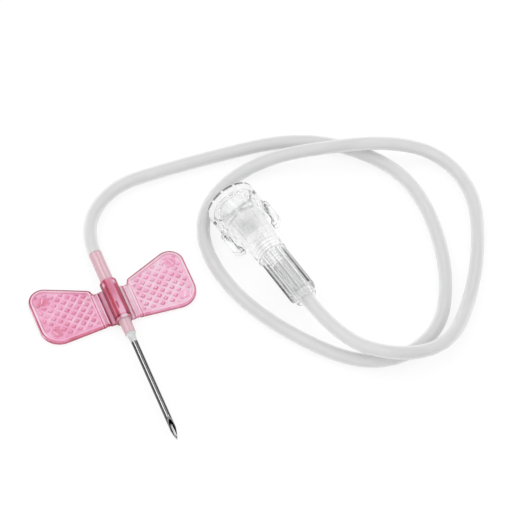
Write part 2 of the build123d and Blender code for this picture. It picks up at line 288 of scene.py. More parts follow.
# Tone of the plain wing: lower is paler, and 1 is the darkest line of its edges. The right
# side, 1, is painted a little paler than the left, -1, as lit more: painted light that each adds
# on its wing and on its film, and the painted highlight in the streaks between its studs.
PLAIN_TONE = 0.3
WING_SIDE_LIGHT = {1: -0.1, -1: 0.04}
FILM_SIDE_LIGHT = {1: -0.1, -1: 0.06}
STREAK_HIGHLIGHT = {1: -0.03, -1: -0.2}

# Tone of plain clear plastic: 0 is white, and 1 is the grey of its edges.
CLEAR_TONE = 0.12
# How much the surfaces inside the connector and the cap show.
INNER_SHARE = 0.15

WHITE = (1.0, 1.0, 1.0)

# Softboxes: name, direction, distance from their target, two sides, and brightness.
LAMP_TARGET = (0.03, 0.008, 0.0)
LAMPS = (
    ("strip_behind", (0.42, 0.50, 0.76), 0.8, (0.16, 0.6), 1.7),
    ("strip_left", (-0.405, 0.555, 0.726), 0.8, (0.2, 0.5), 2.2),
    ("box_left", (-0.85, 0.1, 0.6), 0.8, (0.45, 0.45), 0.45),
    ("box_right", (0.75, -0.45, 0.7), 0.9, (0.3, 0.3), 0.8),
)
# Greys that reflections find in the studio, by height: 0 is level, and 1 is overhead.
STUDIO_GREYS = ((0.0, 0.95), (0.12, 0.85), (0.34, 0.2), (0.62, 0.12), (1.0, 0.35))


# Shapes as whole arrays.

def ease(start, end, value):
    """0 up to start, 1 from end on, and a smooth cubic step between them. Start may be higher."""
    step = np.clip((value - start) / (end - start), 0.0, 1.0)
    return step * step * (3.0 - 2.0 * step)


def line(value, place, width):
    """1 where a value is at its place, and next to nothing two widths away: a bell curve."""
    return np.exp(-((value - place) / width) ** 2)


def rounded(corners, rounds, steps=5, closed=True):
    """Outline with an arc at each corner.

    Each arc touches both sides of its corner, at the radius divided by the tangent of half
    the angle there, and its centre lies on the line that halves the angle.
    """
    corners = np.array(corners, dtype=float)
    radius = np.maximum(np.array(rounds, dtype=float), CRISP)
    before = np.roll(corners, 1, axis=0) - corners
    after = np.roll(corners, -1, axis=0) - corners
    before_run = np.linalg.norm(before, axis=1)
    after_run = np.linalg.norm(after, axis=1)
    before /= before_run[:, None]
    after /= after_run[:, None]
    half = np.arccos(np.clip((before * after).sum(axis=1), -1.0, 0.99999)) / 2
    room = 0.49 * np.minimum(before_run, after_run)
    cut = np.minimum(radius / np.tan(half), room)
    radius = cut * np.tan(half)
    middle = before + after
    middle /= np.maximum(np.linalg.norm(middle, axis=1), 1e-9)[:, None]
    centre = corners + middle * (radius / np.sin(half))[:, None]
    start = corners + before * cut[:, None] - centre
    finish = corners + after * cut[:, None] - centre
    first = np.arctan2(start[:, 1], start[:, 0])
    turn = np.arctan2(finish[:, 1], finish[:, 0]) - first
    turn = (turn + pi) % (2 * pi) - pi
    angles = first[:, None] + turn[:, None] * np.linspace(0.0, 1.0, steps)
    circles = np.stack([np.cos(angles), np.sin(angles)], axis=-1)
    arcs = centre[:, None, :] + radius[:, None, None] * circles
    if closed:
        return arcs.reshape(-1, 2)
    return np.concatenate([corners[:1], arcs[1:-1].reshape(-1, 2), corners[-1:]])


def paced(path, closed):
    """Points of a path, closed by its first one if asked, with their gaps and places along it."""
    points = np.concatenate([path, path[:1]]) if closed else path
    gaps = np.linalg.norm(np.diff(points, axis=0), axis=1)
    return points, gaps, np.concatenate([[0.0], np.cumsum(gaps)])


def placed(points, along, places):
    """Points of a path at the given places along it."""
    return np.stack([np.interp(places, along, points[:, axis]) for axis in range(2)], axis=-1)


def divided(path, step, closed=True):
    """The same path with further points, no more than a step apart, by length along it."""
    points, gaps, along = paced(path, closed)
    pieces = np.maximum(1, np.ceil(gaps / step)).astype(int)
    number = np.arange(pieces.sum()) - np.repeat(np.cumsum(pieces) - pieces, pieces)
    places = np.repeat(along[:-1], pieces) + np.repeat(gaps / pieces, pieces) * number
    if not closed:
        places = np.append(places, along[-1])
    return placed(points, along, places)


def evenly(path, count):
    """A closed path as a given number of points, evenly spaced by length."""
    points, _, along = paced(path, closed=True)
    return placed(points, along, np.linspace(0.0, along[-1], count, endpoint=False))


def quads(rows, columns, looped):
    """Corner numbers of a grid's faces. Columns close on themselves, and so do looped rows."""
    row = np.arange(rows if looped else rows - 1)[:, None]
    column = np.arange(columns)[None, :]
    next_row = (row + 1) % rows
    next_column = (column + 1) % columns
    corners = [row * columns + column, row * columns + next_column,
               next_row * columns + next_column, next_row * columns + column]
    return np.stack(corners, axis=-1).reshape(-1, 4)


def enclosed(points, faces):
    """Signed volume of the quads, positive where they point outwards."""
    a, b, c, d = (points[faces[:, corner]] for corner in range(4))
    return (a * np.cross(b, c)).sum() + (a * np.cross(c, d)).sum()


def skin(name, grid, material, looped=True, marks=None, crease=38.0):
    """Mesh of a grid of points, rows by columns, with its open ends closed by flat faces.

    Marks are values at the grid's points that the material reads by name.
    """
    rows, columns = grid.shape[:2]
    points = grid.reshape(-1, 3)
    faces = quads(rows, columns, looped)
    ends = []
    if not looped:
        ends = [np.arange(columns)[::-1], np.arange(columns) + (rows - 1) * columns]
    if enclosed(points - points.mean(axis=0), faces) < 0:
        faces = faces[:, ::-1]
        ends = [end[::-1] for end in ends]
    mesh = bpy.data.meshes.new(name)
    mesh.from_pydata(points.tolist(), [], faces.tolist() + [end.tolist() for end in ends])
    mesh.materials.append(material)
    for mark, values in (marks or {}).items():
        layer = mesh.attributes.new(mark, "FLOAT", "POINT")
        layer.data.foreach_set("value", np.clip(values, 0.0, 1.0).astype(np.float32).ravel())
    mesh.shade_smooth()
    mesh.set_sharp_from_angle(angle=radians(crease))
    piece = bpy.data.objects.new(name, mesh)
    bpy.context.scene.collection.objects.link(piece)
    return piece


def swept(profile, columns):
    """Distance along, radius and angle of a profile's points as they are carried round."""
    angles = np.linspace(0.0, 2 * pi, columns, endpoint=False)[None, :]
    along, radius = (np.repeat(profile[:, part:part + 1], columns, axis=1) for part in range(2))
    return along, radius, angles


def turned(profile, columns, change=None):
    """Grid (along, side, up) of a profile of (along, radius) carried round the axis.

    Each point lies at its radius times sine and cosine of the column's angle. change, where
    given, is added to the radius as a function of distance along, radius and angle.
    """
    along, radius, angles = swept(profile, columns)
    if change is not None:
        radius = radius + change(along, radius, angles)
    return np.stack([along, radius * np.sin(angles), radius * np.cos(angles)], axis=-1)


def on_needle(grid, sizes):
    """Grid (along, side, up) laid on the needle's axis, which runs along Y."""
    return np.array(sizes.middle) + grid[..., [1, 0, 2]]


def on_connector(grid, sizes, turn=0.0):
    """Grid (along, side, up) turned about the cap's axis and laid along the connector."""
    side = grid[..., 1] * cos(turn) - grid[..., 2] * sin(turn)
    up = grid[..., 1] * sin(turn) + grid[..., 2] * cos(turn)
    ahead = np.array([cos(sizes.heading), sin(sizes.heading), 0.0])
    left = np.array([-sin(sizes.heading), cos(sizes.heading), 0.0])
    above = np.array([0.0, 0.0, 1.0])
    return np.array(sizes.end) + grid[..., :1] * ahead + side[..., None] * left + up[..., None] * above


def needle_grid(sizes):
    """Steel tube cut at its tip by three planes.

    Every column runs along the tube to where the highest of the three cutting planes meets
    it: the bevel, which climbs one needle's width over its length, and two lancet facets.
    """
    columns = 96
    rows_across = 4
    outer = sizes.od / 2
    inner = outer - sizes.wall
    bond = sizes.bond_od / 2
    bond_end = -sizes.nose - sizes.glue
    angles = np.linspace(0.0, 2 * pi, columns, endpoint=False)
    slope = 1.0 / np.tan(sizes.lancet_angle)

    def cut(radius):
        side = radius * np.sin(angles)
        height = radius * np.cos(angles) + outer
        bevel = height * sizes.bevel / sizes.od
        facets = [slope * (way * side * sin(sizes.lancet_turn) + height * cos(sizes.lancet_turn))
                  for way in (-1, 1)]
        return -sizes.tip + np.maximum(bevel, np.maximum(*facets))

    def row(along, radius):
        along = np.broadcast_to(along, angles.shape)
        return np.stack([along, radius * np.sin(angles), radius * np.cos(angles)], axis=-1)

    closer_to_tip = 0.6
    shares = np.linspace(0.0, 1.0, 40) ** closer_to_tip
    rows = [row(sizes.rear, inner), row(sizes.rear, bond), row(bond_end, bond), row(bond_end, outer)]
    rows += [row(bond_end + (cut(outer) - bond_end) * part, outer) for part in shares[1:]]
    rows += [row(cut(radius), radius) for radius in np.linspace(outer, inner, rows_across)[1:]]
    rows += [row(cut(inner) + (sizes.rear - cut(inner)) * part, inner) for part in shares[1:-1]]
    return on_needle(np.array(rows), sizes)


def hub_grid(sizes, sleeve_length):
    """Pink hub tube, turned: tail with its lumen, a step at the sleeve's front, tapered nose.

    Its tone is wide and fine streaks along it, and one painted highlight, a pale streak where it shines.
    """
    outer = sizes.tube_od / 2 - SLIP
    lumen = sizes.tube_bore / 2
    grip = sizes.bond_od / 2 + SLIP
    front = -sleeve_length / 2
    tail_round = 0.00006
    nose_round = 0.00012
    profile = rounded(
        [(sizes.tail, lumen), (sizes.tail, outer), (front, outer), (front, sizes.nose_root_od / 2),
         (-sizes.nose, sizes.nose_end_od / 2), (-sizes.nose, grip), (sizes.rear, grip), (sizes.rear, lumen)],
        [CRISP, tail_round, CRISP, CRISP, nose_round, CRISP, CRISP, CRISP])
    grid = turned(divided(profile, 0.0008), 144)
    turn = np.arctan2(grid[..., 1], grid[..., 2])
    wide = 0.16 * np.cos(7 * turn + 0.6)
    fine = 0.1 * np.cos(17 * turn)
    # Painted highlight: a pale streak along the tube.
    shine = 0.5 * line(turn, -0.45, 0.16)
    return on_needle(grid, sizes), {"tone": 0.16 + wide + fine - shine}


def glue_grid(sizes):
    """Adhesive, turned: its radius falls from the nose to the needle along a hollow curve."""
    inner = sizes.bond_od / 2 + SLIP
    start = sizes.nose_end_od / 2 - 0.0001
    end = sizes.od / 2 + 0.00005
    hollow = 1.75
    ripple_height = 0.00002
    ripple_turns = 9.0
    part = np.linspace(0.0, 1.0, 26)
    ripple = ripple_height * np.sin(part * ripple_turns) * (1.0 - part)
    radius = end + (start - end) * (1.0 - part) ** hollow + ripple
    outside = np.stack([-sizes.nose - sizes.glue * part, radius], axis=-1)
    inside = np.array([(-sizes.nose - sizes.glue, inner), (-sizes.nose - SLIP, inner)])
    return on_needle(turned(np.concatenate([outside, inside]), 72), sizes)


def sleeve_grid(needle, sizes):
    """Sleeve with its two webs: one section carried along the needle.

    The section runs round the barrel and out along each web. Where the web's share is 0, as
    in the bore and at the ends, its points fall back on the barrel between the web's angles.
    The tone of the webs is painted paler on the right, as lit, and deeper on the left, as in
    shade, with a pale groove beside the hinge.
    """
    zero = needle.middle[2]
    outer = needle.tube_od / 2 + sizes.sleeve_wall
    bore = needle.tube_od / 2 + SLIP
    mid = sizes.thickness / 2
    top = mid + sizes.bead / 2
    low = mid - sizes.bead / 2
    seat = sizes.bead / 2 + sizes.gap
    upper = pi - np.arccos((zero - top) / outer)
    lower = pi - np.arccos((zero - low) / outer)
    blend = 0.00022
    blend_rise = 0.6 * blend
    web_out = np.linspace(outer * sin(upper), sizes.hinge - seat, 30)
    rise = blend_rise * ease(2.5 * blend, 0.0, web_out - web_out[0])
    web_top = np.stack([web_out, top + rise], axis=-1)
    under = np.linspace(pi, pi + np.arcsin(sizes.bead / 2 / seat), 9)
    tip = np.stack([sizes.hinge + seat * np.cos(under), mid + seat * np.sin(under)], axis=-1)
    web_back = np.linspace(tip[-1, 0], outer * sin(lower), 8)[1:]
    web_low = np.stack([web_back, np.full(len(web_back), low)], axis=-1)
    web = np.concatenate([web_top, tip, web_low])
    crown = np.linspace(0.0, upper, 34, endpoint=False)
    foot = np.linspace(lower, pi, 9)[1:]
    angles = np.concatenate([crown, np.linspace(upper, lower, len(web)), foot])
    angles = np.concatenate([angles, 2 * pi - angles[-2:0:-1]])
    right = np.zeros((len(crown) + len(web) + len(foot), 3))
    right[len(crown):-len(foot)] = np.column_stack([web, np.ones(len(web))])
    web_x, web_z, on_web = np.concatenate([right, right[-2:0:-1] * (-1, 1, 1)]).T
    end = sizes.sleeve / 2
    edge = 0.00028
    clear = edge + 0.00005

    def rows(start, stop, count, radius, share_out):
        return [(y, radius, share_out) for y in np.linspace(start, stop, count)]

    bends = np.linspace(0.0, pi / 2, 7)
    curve = [(edge * (1 - sin(bend)), outer - edge * (1 - cos(bend)), 0) for bend in bends]
    first = [(-end + back, radius, share_out) for back, radius, share_out in curve[::-1]]
    last = [(end - back, radius, share_out) for back, radius, share_out in curve]
    tip_side = rows(-end + clear, -sizes.tip_edge - SLIP, 3, outer, 0)
    webbed = rows(-sizes.tip_edge, sizes.tail_edge, 60, outer, 1)
    tail_side = rows(sizes.tail_edge + SLIP, end - clear, 6, outer, 0)
    inside = rows(end, -end, 6, bore, 0)
    along, radius, share_out = np.array(first + tip_side + webbed + tail_side + last + inside).T
    barrel_x = radius[:, None] * np.sin(angles)
    barrel_z = zero + radius[:, None] * np.cos(angles)
    part = share_out[:, None] * on_web
    x = barrel_x + (web_x - barrel_x) * part
    z = barrel_z + (web_z - barrel_z) * part
    y = np.repeat(along[:, None], len(angles), axis=1)
    barrel_tone = sleeve_tone(np.degrees((angles + pi) % (2 * pi) - pi)[None, :], y, end)
    groove = line(np.abs(x), 0.0019, 0.00007)
    # Painted light: the right web is painted pale as lit, the left deep as in shade.
    web_tone = np.where(x > 0.0, 0.14, 0.52) - 0.12 * groove
    tone = barrel_tone + (web_tone - barrel_tone) * part
    return np.stack([x, needle.middle[1] + y, z], axis=-1), {"tone": tone}


def sleeve_tone(turn, y, end):
    """Depth of the pink on the barrel, by degrees from its crown and by place along it.

    A rippled pale band runs along the crown, palest towards the needle's tip: painted light on
    the lit top, with the paler tube inside showing through. Painted shine lies at both sides of
    it near the tail end, with a pale line down the left side, and painted shade down the far
    left side and at the front off the crown. A dark mark lies over the needle's rear end, a
    painted highlight round the front end with a dark line inside it, and a pale rim at the
    tail end.
    """
    crown = ease(-26.0, -12.0, turn) * ease(30.0, 14.0, turn)
    ripple = 0.85 + 0.15 * np.cos(turn / 1.7)
    # Painted light on the lit crown, together with the paler tube inside.
    lit_crown_and_tube = (0.26 + 0.3 * ease(0.001, -0.0035, y)) * ripple * crown
    pale_side = 0.16 * line(turn, -50.0, 7.0)
    # Painted shade down the far left side and at the front, off the crown.
    left_side_shade = 0.14 * ease(-60.0, -85.0, turn)
    front_shade = 0.12 * ease(-0.0025, -0.0044, y) * (1.0 - crown)
    # Painted highlights near the tail end, one at each side.
    left_shine = 0.8 * line(turn, -48.0, 9.0) * line(y, 0.0035, 0.0004)
    right_shine = 0.8 * line(turn, 30.0, 9.0) * line(y, 0.0036, 0.00045)
    needle_rear = 0.6 * line(turn, -12.0, 4.5) * ease(-0.0029, -0.0023, y) * ease(-0.0008, -0.0012, y)
    # Painted highlight round the front end, with a dark line inside it.
    front_rim_highlight = 0.3 * line(y, -end + 0.0001, 0.00025) - 0.3 * line(y, -end + 0.0006, 0.00018)
    back_rim = 0.25 * line(y, end, 0.0003)
    deeper = left_side_shade + front_shade + needle_rear
    return 0.74 + deeper - lit_crown_and_tube - pale_side - left_shine - right_shine - front_rim_highlight - back_rim


def wing_outline(sizes, count):
    """Rounded outline of the wing with its film, evenly divided, from the sleeve's middle."""
    root = sizes.hinge - sizes.bead / 2
    plate = sizes.hinge + sizes.film
    shoulder = (plate + sizes.shoulder_out, sizes.tail_edge + sizes.shoulder_rise)
    corners = [(root, -sizes.tip_edge), (plate, -sizes.tip_edge), (sizes.reach, -sizes.tip_corner),
               (sizes.reach, sizes.tail_corner), shoulder, (plate, sizes.tail_edge), (root, sizes.tail_edge)]
    rounds = [0.0001, 0.0012, sizes.tip_round, sizes.tail_round, 0.0008, 0.0002, 0.0001]
    return evenly(rounded(corners, rounds, steps=24), count)


def wing_relief(x, y, sizes):
    """Where studs and bosses stand, from 0 to 1, and the distance to the nearest boss.

    Studs are squares of a lattice that is turned by 45 degrees, left out round the bosses.
    """
    crisp = 0.00006
    plate = sizes.hinge + sizes.film
    boss_x = sizes.reach - sizes.boss_in
    tail_far = np.hypot(x - boss_x, y - sizes.boss_tail)
    boss_far = np.minimum(tail_far, np.hypot(x - boss_x, y + sizes.boss_tip))
    boss = ease(sizes.boss / 2 + crisp, sizes.boss / 2 - crisp, boss_far)
    a = (x - plate + y) / sqrt(2) / sizes.pitch
    b = (x - plate - y) / sqrt(2) / sizes.pitch
    off = np.maximum(np.abs(a - np.round(a)), np.abs(b - np.round(b))) * sizes.pitch
    stud = ease(sizes.stud / 2 + crisp, sizes.stud / 2 - crisp, off)
    clear = ease(sizes.boss / 2 + 0.00005, sizes.boss / 2 + 0.0003, boss_far)
    return stud * clear, boss, boss_far


def wing_grid(needle, sizes, side):
    """Wing as rings of its outline, drawn in towards a middle point, above and below.

    A ring's depth from the edge is its share of the way in times how far the middle lies
    behind the outline there. Height is a function of that depth and of place: a quarter round
    at the edge, a rim, a panel sunk behind it, the studs and the two bosses.
    """
    outline = wing_outline(sizes, sizes.around)
    middle = np.array([0.0095, 0.0010])
    plate = sizes.hinge + sizes.film
    tangent = np.roll(outline, -1, axis=0) - np.roll(outline, 1, axis=0)
    tangent /= np.linalg.norm(tangent, axis=1)[:, None]
    spoke = outline - middle
    behind = np.abs(spoke[:, 0] * tangent[:, 1] - spoke[:, 1] * tangent[:, 0])
    edge = 0.00027
    innermost = 0.985
    near = edge * (1.0 - np.cos(np.linspace(0.0, pi / 2, 9))) / behind.max()
    inner = np.linspace(near[-1], innermost, sizes.rings - len(near) + 1)[1:]
    upper = np.concatenate([near, inner])[::-1]
    ways = np.concatenate([upper, near, np.linspace(near[-1], innermost, 12)[1:]])[:, None]
    above = np.arange(len(ways))[:, None] < len(upper)
    x = outline[None, :, 0] - spoke[None, :, 0] * ways
    y = outline[None, :, 1] - spoke[None, :, 1] * ways
    depth = ways * behind[None, :]
    drop = edge * (1.0 - np.sqrt(1.0 - (1.0 - np.clip(depth / edge, 0.0, 1.0)) ** 2))
    mid = sizes.thickness / 2
    raised = ease(plate - 0.00012, plate + 0.00012, x)
    low = (mid - sizes.bead / 2) * (1.0 - raised)
    field = np.minimum(depth, x - plate)
    stud, boss, _ = wing_relief(x, y, sizes)
    studded = ease(sizes.rim + 0.00015, sizes.rim + 0.00035, field)
    panel = ease(sizes.rim - 0.00008, sizes.rim + 0.00008, field)
    film_line = line(x, sizes.hinge + 0.00034, 0.00006)
    root_line = line(x, plate + 0.00052, 0.00006) * raised
    boss_height = 0.00013
    top = mid + sizes.bead / 2 + (sizes.thickness - mid - sizes.bead / 2) * raised
    top = top - sizes.panel * panel + sizes.stud_height * stud * studded + boss_height * boss
    top = top - 0.00009 * film_line - 0.00006 * root_line
    height = np.where(above, top - drop, low + drop)
    grid = np.stack([side * x, needle.middle[1] + y, height], axis=-1)
    towards_tail = np.where(spoke[:, 1] > 0.0, 1.0, -1.0) * np.abs(tangent[:, 0])
    lit = ease(-0.75, -0.2, towards_tail)[None, :]
    # Painted light: the film is painted paler on the right than the left, and painted shade darkens the
    # grooves at the film and at the plate's root.
    film = FILM_SIDE_LIGHT[side] * (1.0 - raised) + 0.2 * film_line + 0.5 * root_line
    beside_root = line(x, plate + 0.00025, 0.00012) + line(x, plate + 0.00075, 0.0001)
    panel_edge = line(field, sizes.rim, 0.00008) * raised
    tone = wing_tone(x, y, depth, lit, sizes, side) + film - 0.2 * beside_root + 0.12 * panel_edge
    under = PLAIN_TONE + 0.5 * line(depth, 0.0, 0.0003)
    return grid, {"tone": np.where(above, tone, under)}


def wing_tone(x, y, depth, lit, sizes, side):
    """Depth of the pink on the wing's upper face, without its film.

    A dark line of painted shade runs inside the edge, with a painted highlight beside it where
    the edge is lit, and painted shade at the edge where it is not. The bosses are deeper, each
    with a pale slot. Each stud is deeper than the panel and has painted shade as a dark outline
    towards the needle's tip and a painted highlight as a pale one away from it. Painted
    highlights run as pale streaks between the rows of studs near the root.
    """
    plate = sizes.hinge + sizes.film
    boss_x = sizes.reach - sizes.boss_in
    boss_middle = (sizes.boss_tail - sizes.boss_tip) / 2
    boss_apart = (sizes.boss_tail + sizes.boss_tip) / 2
    stud, _, boss_far = wing_relief(x, y, sizes)
    studded = ease(sizes.rim + 0.00015, sizes.rim + 0.00035, np.minimum(depth, x - plate))
    # Painted shade as a dark line inside the edge, painted highlight beside it where the edge is lit,
    # painted shade on the unlit edge.
    edge_shade_line = (0.4 + 0.4 * lit) * line(depth, 0.00022, 0.00009)
    edge_highlight = 0.4 * lit * line(depth, 0.0005, 0.00012)
    unlit_edge = 0.3 * (1.0 - lit) * line(depth, 0.0, 0.00012)
    rim = edge_shade_line - edge_highlight + unlit_edge
    slot_aside = (x - boss_x) * 0.9 + (np.abs(y - boss_middle) - boss_apart) * 0.44
    slot = line(slot_aside, 0.0002, 0.00008) * ease(0.0008, 0.0006, boss_far)
    stamped = 0.2 * ease(0.0014, 0.0006, boss_far) - 0.5 * slot
    # Painted highlights as pale streaks between the rows of studs.
    row = (x - plate + y) / sqrt(2) / sizes.pitch
    streak = line((row - np.floor(row) - 0.5) * sizes.pitch, 0.0, 0.00011) * studded
    # Painted shade on each stud's flank towards the needle's tip and painted highlight on the other flank.
    aside = side * 0.000027
    back = 0.0000855
    ahead = wing_relief(x - aside, y + back, sizes)
    astern = wing_relief(x + aside, y - back, sizes)
    shade = (ahead[0] - astern[0] + 0.5 * (ahead[1] - astern[1])) * studded
    near_tip = ease(0.006, -0.001, y)
    near_root = ease(0.0125, 0.006, x)
    strength = 0.55 + 0.45 * near_tip if side > 0 else 0.45 + 0.25 * near_root
    # Painted light: each wing's side offset and its highlight streaks; painted shade and highlight round the
    # studs below.
    tone = PLAIN_TONE + WING_SIDE_LIGHT[side] + rim + stamped + STREAK_HIGHLIGHT[side] * streak * near_root
    return tone + strength * (0.2 * stud * studded + 0.31 * np.where(shade > 0.0, shade, 1.2 * shade))


def cone_radius(sizes, distance):
    """Outer radius of the hub's cone at a distance from the mouth."""
    part = (distance - sizes.shoulder_at) / sizes.cone
    return (sizes.shoulder_od + part * (sizes.cone_end_od - sizes.shoulder_od)) / 2


def connector_reach(sizes):
    """Distance from the connector's mouth to its far end, where the tube goes in."""
    return sizes.shoulder_at + sizes.cone + sizes.collar + sizes.grip + sizes.ring


def nearest(angles, count, diameter):
    """Distance round from the nearest of evenly spaced grooves, and that groove's number."""
    turn = angles * count / (2 * pi)
    number = np.round(turn)
    return (turn - number) * pi * diameter / count, number


def connector_grid(sizes):
    """Connector, turned, with lugs added at the mouth and flutes cut along the grip.

    A lug is where the sideways distance is under half its width, and a flute is where the
    distance round the grip from the nearest groove's middle is under half the groove's width.
    The tone has a dark line of painted shade along each wall of a flute, stronger and weaker by
    turns, and a ring of painted shade at each step. What lies inside, or under the cap, shows
    only in part.
    """
    collar_at = sizes.shoulder_at + sizes.cone
    grip_at = collar_at + sizes.collar
    ring_at = grip_at + sizes.grip
    end = connector_reach(sizes)
    stop = end - sizes.insertion
    fit = 0.00127
    taper = 0.03 * sizes.socket_depth
    corners = [
        (0, sizes.mouth_od / 2), (sizes.shoulder_at - 0.0003, sizes.shoulder_od / 2 - 0.00003),
        (sizes.shoulder_at, sizes.shoulder_od / 2), (collar_at, sizes.cone_end_od / 2),
        (collar_at, sizes.collar_od / 2), (grip_at, sizes.collar_od / 2), (grip_at, sizes.grip_od / 2),
        (ring_at, sizes.grip_od / 2), (ring_at, sizes.ring_od / 2), (end, sizes.ring_od / 2), (end, fit),
        (stop, fit), (stop, sizes.lumen / 2), (sizes.socket_depth, sizes.lumen / 2),
        (sizes.socket_depth, sizes.socket / 2 - taper), (0, sizes.socket / 2)]
    rounds = [0.0001, 0.0004, 0.0004, 0.0001, 0.00015, 0.0003, 0.00006, 0.00018, 0.0001, 0.0003,
              0.0001, 0.00006, 0.00006, 0.0001, 0.0001, 0.00015]
    profile = divided(rounded(corners, rounds, steps=6), 0.00028)
    lug_edge = 0.00012
    flute_edge = 0.00005
    flute_end = 0.0001

    def fluted(along, radius, angles):
        round_off, number = nearest(angles, sizes.flutes, sizes.grip_od)
        first = grip_at + sizes.flute_land
        last = ring_at - sizes.flute_land
        inside = ease(first - flute_end, first + flute_end, along)
        inside = inside * ease(last + flute_end, last - flute_end, along)
        return round_off, number, inside * (radius > sizes.ring_od / 2 + 0.0002)

    def change(along, radius, angles):
        outside = radius > sizes.mouth_od / 2 - 0.00015
        aside = np.abs(sizes.lug_od / 2 * np.sin(angles))
        lug = ease(sizes.lug_width / 2, sizes.lug_width / 2 - lug_edge, aside)
        lug = lug * ease(sizes.lug, sizes.lug - lug_edge, along) * ease(-SLIP, lug_edge, along)
        round_off, _, inside = fluted(along, radius, angles)
        half = sizes.flute_width / 2
        flute = 1.0 - ease(half - flute_edge, half + flute_edge, np.abs(round_off))
        return (sizes.lug_od - sizes.mouth_od) / 2 * lug * outside - sizes.flute_depth * flute * inside

    grid = turned(profile, sizes.columns, change)
    grid[..., 0] += sizes.mouth_at
    along, radius, angles = swept(profile, sizes.columns)
    round_off, number, inside = fluted(along, radius, angles)
    # Painted shade: dark lines along the flute walls and rings at the steps.
    flute_wall = 0.0004
    by_turns = 0.5 + 0.9 * np.cos(1.2 * number) ** 2
    walls = line(round_off, flute_wall, 0.00014) + 0.5 * line(round_off, -flute_wall, 0.00012)
    flutes = 1.3 * by_turns * walls - CLEAR_TONE * line(round_off, 0.0, 0.00015)
    steps = (collar_at, collar_at + 0.0008, grip_at - 0.0006, grip_at, ring_at)
    step_rings = 0.5 * sum(line(along, step, 0.00012) for step in steps)
    on_cone = 0.06 * ease(0.004, 0.005, along) * ease(collar_at, collar_at - 0.0005, along)
    shown = radius > sizes.ring_od / 2 - 0.0001
    tone = (CLEAR_TONE + step_rings + on_cone) * shown + flutes * inside
    under_cap = 1.0 - 0.5 * ease(0.0045, 0.0035, along + sizes.mouth_at)
    seen = ease(sizes.socket / 2 + 0.0001, sizes.socket / 2 + 0.0003, radius) * under_cap
    at_ring = ease(ring_at - 0.0002, ring_at, along) * (radius > sizes.ring_od / 2 - 0.0003)
    seen = np.maximum(INNER_SHARE + (1.0 - INNER_SHARE) * seen, at_ring)
    return on_connector(grid, sizes), {"tone": tone, "seen": seen, "dash": np.zeros_like(tone)}


def cap_grid(sizes):
    """Cap, turned: closed end, skirt with an inner thread of two starts, and a hollow plug.

    Notches are cut in the closed end's rim like the connector's flutes. The thread is a low
    ridge where distance along, less the lead times the turn, comes back to the same place.
    The rim is painted dark between its notches, as shade, a painted highlight runs round the
    skirt's mouth, and the plug shows only in part.
    """
    outer = sizes.cap_od / 2
    inner = outer - sizes.cap_wall
    lead = 0.005
    slope = 0.03
    centre = 0.0002
    plug = sizes.socket / 2 - 0.00003
    far = sizes.cap_end + sizes.plug
    corners = [
        (0, centre), (0, outer), (sizes.cap, outer), (sizes.cap, inner), (sizes.cap_end, inner),
        (sizes.cap_end, plug + slope * sizes.mouth_at - slope * sizes.cap_end),
        (far, plug + slope * (sizes.mouth_at - far)), (far, sizes.plug_bore / 2),
        (far - sizes.plug_depth, sizes.plug_bore / 2), (far - sizes.plug_depth, centre)]
    rounds = [0, 0.0003, 0.0002, 0.0001, 0.0003, 0.0002, 0.0002, 0.0001, 0.0003, 0]
    profile = divided(rounded(corners, rounds, steps=6, closed=False), 0.0002, closed=False)
    notch_edge = 0.00012
    thread_height = 0.00011

    def notched(along, radius, angles):
        off = np.abs(nearest(angles, sizes.notches, sizes.cap_od)[0])
        notch = ease(sizes.notch_width / 2 + notch_edge, sizes.notch_width / 2 - notch_edge, off)
        notch = notch * ease(sizes.notch + 0.0001, sizes.notch - 0.0004, along)
        return notch * (radius > outer - 0.0004)

    def change(along, radius, angles):
        ridge = np.cos(2 * pi * (along / lead * 2 - angles / pi))
        skirt = (radius > inner - SLIP) & (radius < inner + SLIP)
        held = ease(0.0016, 0.0022, along) * ease(0.0057, 0.0052, along)
        thread = thread_height * ease(0.55, 0.95, ridge) * skirt * held
        return -sizes.notch_depth * notched(along, radius, angles) - thread

    grid = turned(profile, sizes.columns, change)
    along, radius, angles = swept(profile, sizes.columns)
    # Painted shade on the rim between its notches.
    rim = ease(0.0006, 0.00043, along) * (radius > outer - 0.00025)
    # Painted highlight round the skirt's mouth.
    mouth = line(along, sizes.cap, 0.00025) * (radius > inner)
    skirt = ease(inner - 0.0004, inner, radius)
    outside = np.maximum(ease(sizes.socket / 2 + 0.0002, sizes.socket / 2 + 0.0006, radius),
                         1.0 - ease(0.0001, 0.0004, along))
    marks = {"tone": CLEAR_TONE * skirt * (1.0 - mouth),
             "seen": INNER_SHARE + (1.0 - INNER_SHARE) * outside,
             "dash": rim * (1.0 - notched(along, radius, angles))}
    return on_connector(grid, sizes, sizes.ear_turn), marks


